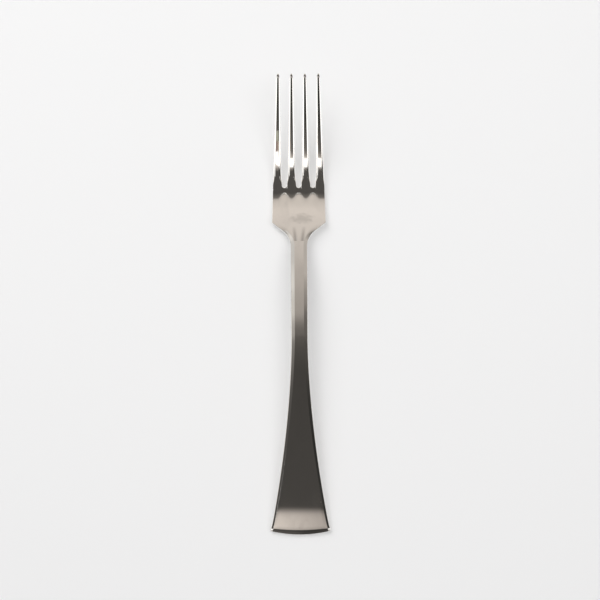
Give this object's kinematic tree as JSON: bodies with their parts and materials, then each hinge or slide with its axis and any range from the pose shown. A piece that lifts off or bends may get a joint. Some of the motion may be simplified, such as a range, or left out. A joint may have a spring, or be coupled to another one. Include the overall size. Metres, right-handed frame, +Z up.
{
  "type": "dinner fork",
  "caption": "Dinner fork lying tines up: slim tapered tines, short squared palm, narrow bevelled neck and a handle that flares to a wide, gently bowed end.",
  "frame": {"origin": "on the table, under the middle of the fork's length and width, with the fork lying on the underside of its head and of its handle's end", "axes": "+Y from the handle's end towards the tips of the tines, +Z up from the table, +X to the right when the tines point away from the viewer"},
  "size_m": [0.0266, 0.2, 0.0208],
  "materials": {
    "steel": "mirror-polished stainless steel with fine wiping marks"
  },
  "bodies": {
    "root": {"handle": "steel", "neck": "steel", "head": "steel", "tine_1": "steel", "tine_2": "steel", "tine_3": "steel", "tine_4": "steel"}
  },
  "joints": []
}
